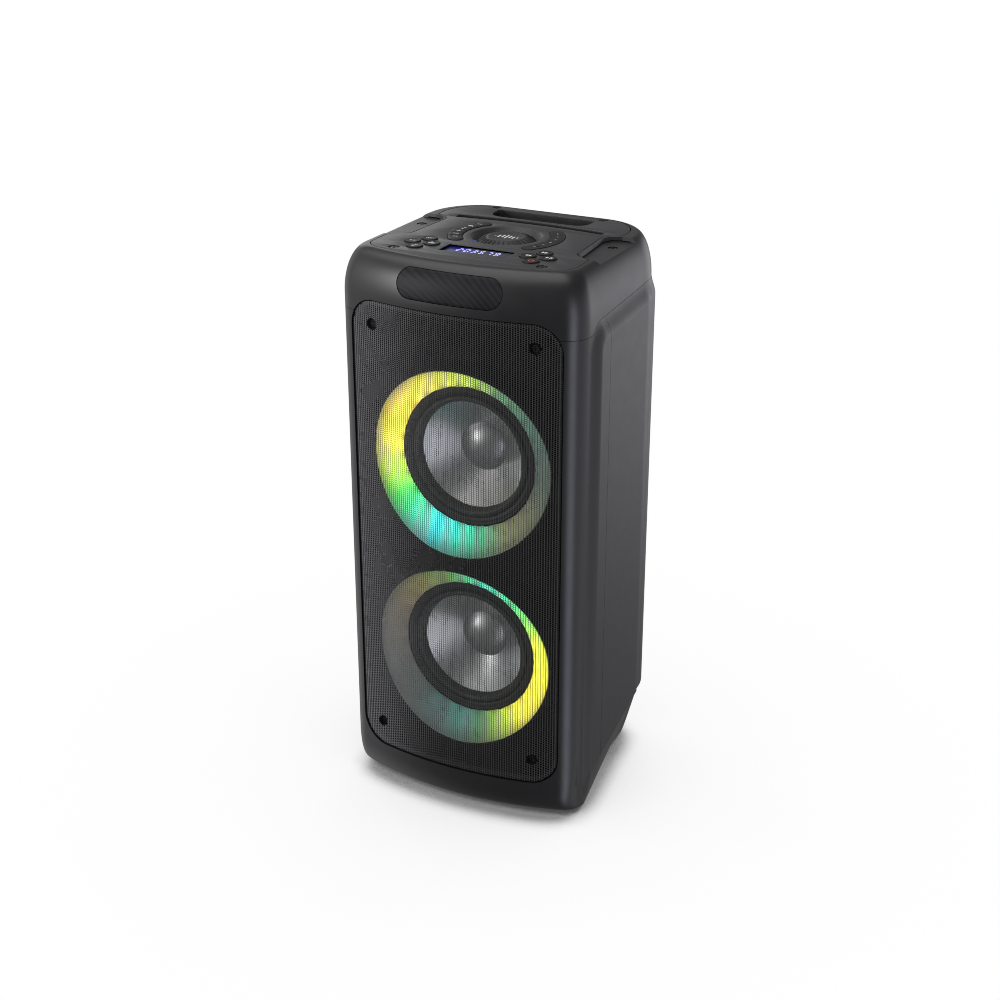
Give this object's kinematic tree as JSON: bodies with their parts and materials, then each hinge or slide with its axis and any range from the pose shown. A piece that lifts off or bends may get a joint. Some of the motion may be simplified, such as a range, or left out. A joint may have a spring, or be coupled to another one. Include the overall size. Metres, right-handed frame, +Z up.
{
  "type": "party speaker",
  "caption": "Tall portable party speaker with a bowed front, lit rings around its woofers behind a grille, and a top control panel with dial, keys, display and handle.",
  "frame": {"origin": "centre of the base footprint, on the floor", "axes": "+Z up, front faces -Y, +X to the right seen from the front"},
  "size_m": [0.276, 0.2509, 0.6015],
  "materials": {
    "cabinet_plastic": "satin, fine moulded grain",
    "cap_plastic": "satin, fine moulded grain",
    "panel_plastic": "satin, fine moulded grain",
    "inner_plastic": "matte black moulding",
    "grille_steel": "satin black powder coat, perforated",
    "screw_steel": "black zinc",
    "foot_rubber": "matte",
    "basket_steel": "black coated steel",
    "magnet_ferrite": "ferrite and plated steel",
    "cone_silver": "silver-grey coated cone",
    "coil_copper": "enamelled copper",
    "surround_rubber": "soft black rubber",
    "spider_fabric": "doped cloth",
    "ring_diffuser": "milky diffuser, lit in changing colours",
    "circuit_board": "green solder mask",
    "strobe_lens": "smoked, finely ribbed lens",
    "strobe_white": "white board with LEDs",
    "dial_plastic": "satin with ribbed rim",
    "button_plastic": "satin keys with printed marks",
    "encoder_metal": "plated",
    "display_lens": "dark tinted window",
    "battery_wrap": "blue shrink sleeve",
    "jack_metal": "plated threaded ring",
    "socket_metal": "plated shell",
    "supply_board": "board with coils and capacitors"
  },
  "bodies": {
    "cabinet": {"front_housing": "cabinet_plastic", "rear_housing": "cabinet_plastic", "top_cap": "cap_plastic", "control_panel": "panel_plastic", "handle_cup": "inner_plastic", "baffle": "inner_plastic", "grille": "grille_steel", "screws": "screw_steel", "feet": "foot_rubber", "rear_panel": "inner_plastic", "port_tube": "inner_plastic", "ring_led_boards": "circuit_board", "strobe_window": "strobe_lens", "strobe_board": "strobe_white", "tweeter": "inner_plastic", "dial_encoder": "encoder_metal", "display_window": "display_lens", "display_module": "strobe_white", "keypad_board": "circuit_board", "amplifier_board": "circuit_board", "battery_pack": "battery_wrap", "power_supply": "supply_board", "input_jacks": "jack_metal", "usb_socket": "socket_metal", "power_inlet": "inner_plastic", "basket_upper": "basket_steel", "magnet_upper": "magnet_ferrite", "surround_upper": "surround_rubber", "spider_upper": "spider_fabric", "light_ring_upper": "ring_diffuser", "basket_lower": "basket_steel", "magnet_lower": "magnet_ferrite", "surround_lower": "surround_rubber", "spider_lower": "spider_fabric", "light_ring_lower": "ring_diffuser"},
    "cone_upper": {"cone_upper": "cone_silver", "voice_coil_upper": "coil_copper"},
    "cone_lower": {"cone_lower": "cone_silver", "voice_coil_lower": "coil_copper"},
    "dial": {"volume_dial": "dial_plastic"},
    "button_left_front": {"button_left_front": "button_plastic"},
    "button_left_rear": {"button_left_rear": "button_plastic"},
    "button_left_outer": {"button_left_outer": "button_plastic"},
    "button_left_inner": {"button_left_inner": "button_plastic"},
    "button_power": {"button_power": "button_plastic"},
    "button_right_rear": {"button_right_rear": "button_plastic"},
    "button_right_outer": {"button_right_outer": "button_plastic"},
    "button_right_inner": {"button_right_inner": "button_plastic"},
    "key_left_1": {"key_left_1": "button_plastic"},
    "key_left_2": {"key_left_2": "button_plastic"},
    "key_left_3": {"key_left_3": "button_plastic"},
    "key_left_4": {"key_left_4": "button_plastic"},
    "key_left_5": {"key_left_5": "button_plastic"},
    "key_left_6": {"key_left_6": "button_plastic"},
    "key_right_1": {"key_right_1": "button_plastic"},
    "key_right_2": {"key_right_2": "button_plastic"},
    "key_right_3": {"key_right_3": "button_plastic"},
    "key_right_4": {"key_right_4": "button_plastic"},
    "key_right_5": {"key_right_5": "button_plastic"},
    "key_right_6": {"key_right_6": "button_plastic"}
  },
  "joints": [
    {"name": "cone_upper_stroke", "type": "slide", "parent": "cabinet", "child": "cone_upper", "axis": [0, -1, 0], "range_m": [-0.004, 0.004], "stiffness_N_per_m": 2500, "deforming": ["surround_upper", "spider_upper"]},
    {"name": "cone_lower_stroke", "type": "slide", "parent": "cabinet", "child": "cone_lower", "axis": [0, -1, 0], "range_m": [-0.004, 0.004], "stiffness_N_per_m": 2500, "deforming": ["surround_lower", "spider_lower"]},
    {"name": "dial_turn", "type": "hinge", "parent": "cabinet", "child": "dial", "pos_m": [0, 0.007, 0.59], "axis": [0, 0, 1], "continuous": true},
    {"name": "button_left_front_press", "type": "slide", "parent": "cabinet", "child": "button_left_front", "axis": [0, 0, -1], "range_m": [0, 0.0012], "stiffness_N_per_m": 600},
    {"name": "button_left_rear_press", "type": "slide", "parent": "cabinet", "child": "button_left_rear", "axis": [0, 0, -1], "range_m": [0, 0.0012], "stiffness_N_per_m": 600},
    {"name": "button_left_outer_press", "type": "slide", "parent": "cabinet", "child": "button_left_outer", "axis": [0, 0, -1], "range_m": [0, 0.0012], "stiffness_N_per_m": 600},
    {"name": "button_left_inner_press", "type": "slide", "parent": "cabinet", "child": "button_left_inner", "axis": [0, 0, -1], "range_m": [0, 0.0012], "stiffness_N_per_m": 600},
    {"name": "button_power_press", "type": "slide", "parent": "cabinet", "child": "button_power", "axis": [0, 0, -1], "range_m": [0, 0.0012], "stiffness_N_per_m": 600},
    {"name": "button_right_rear_press", "type": "slide", "parent": "cabinet", "child": "button_right_rear", "axis": [0, 0, -1], "range_m": [0, 0.0012], "stiffness_N_per_m": 600},
    {"name": "button_right_outer_press", "type": "slide", "parent": "cabinet", "child": "button_right_outer", "axis": [0, 0, -1], "range_m": [0, 0.0012], "stiffness_N_per_m": 600},
    {"name": "button_right_inner_press", "type": "slide", "parent": "cabinet", "child": "button_right_inner", "axis": [0, 0, -1], "range_m": [0, 0.0012], "stiffness_N_per_m": 600},
    {"name": "key_left_1_press", "type": "slide", "parent": "cabinet", "child": "key_left_1", "axis": [0, 0, -1], "range_m": [0, 0.0012], "stiffness_N_per_m": 600},
    {"name": "key_left_2_press", "type": "slide", "parent": "cabinet", "child": "key_left_2", "axis": [0, 0, -1], "range_m": [0, 0.0012], "stiffness_N_per_m": 600},
    {"name": "key_left_3_press", "type": "slide", "parent": "cabinet", "child": "key_left_3", "axis": [0, 0, -1], "range_m": [0, 0.0012], "stiffness_N_per_m": 600},
    {"name": "key_left_4_press", "type": "slide", "parent": "cabinet", "child": "key_left_4", "axis": [0, 0, -1], "range_m": [0, 0.0012], "stiffness_N_per_m": 600},
    {"name": "key_left_5_press", "type": "slide", "parent": "cabinet", "child": "key_left_5", "axis": [0, 0, -1], "range_m": [0, 0.0012], "stiffness_N_per_m": 600},
    {"name": "key_left_6_press", "type": "slide", "parent": "cabinet", "child": "key_left_6", "axis": [0, 0, -1], "range_m": [0, 0.0012], "stiffness_N_per_m": 600},
    {"name": "key_right_1_press", "type": "slide", "parent": "cabinet", "child": "key_right_1", "axis": [0, 0, -1], "range_m": [0, 0.0012], "stiffness_N_per_m": 600},
    {"name": "key_right_2_press", "type": "slide", "parent": "cabinet", "child": "key_right_2", "axis": [0, 0, -1], "range_m": [0, 0.0012], "stiffness_N_per_m": 600},
    {"name": "key_right_3_press", "type": "slide", "parent": "cabinet", "child": "key_right_3", "axis": [0, 0, -1], "range_m": [0, 0.0012], "stiffness_N_per_m": 600},
    {"name": "key_right_4_press", "type": "slide", "parent": "cabinet", "child": "key_right_4", "axis": [0, 0, -1], "range_m": [0, 0.0012], "stiffness_N_per_m": 600},
    {"name": "key_right_5_press", "type": "slide", "parent": "cabinet", "child": "key_right_5", "axis": [0, 0, -1], "range_m": [0, 0.0012], "stiffness_N_per_m": 600},
    {"name": "key_right_6_press", "type": "slide", "parent": "cabinet", "child": "key_right_6", "axis": [0, 0, -1], "range_m": [0, 0.0012], "stiffness_N_per_m": 600}
  ]
}
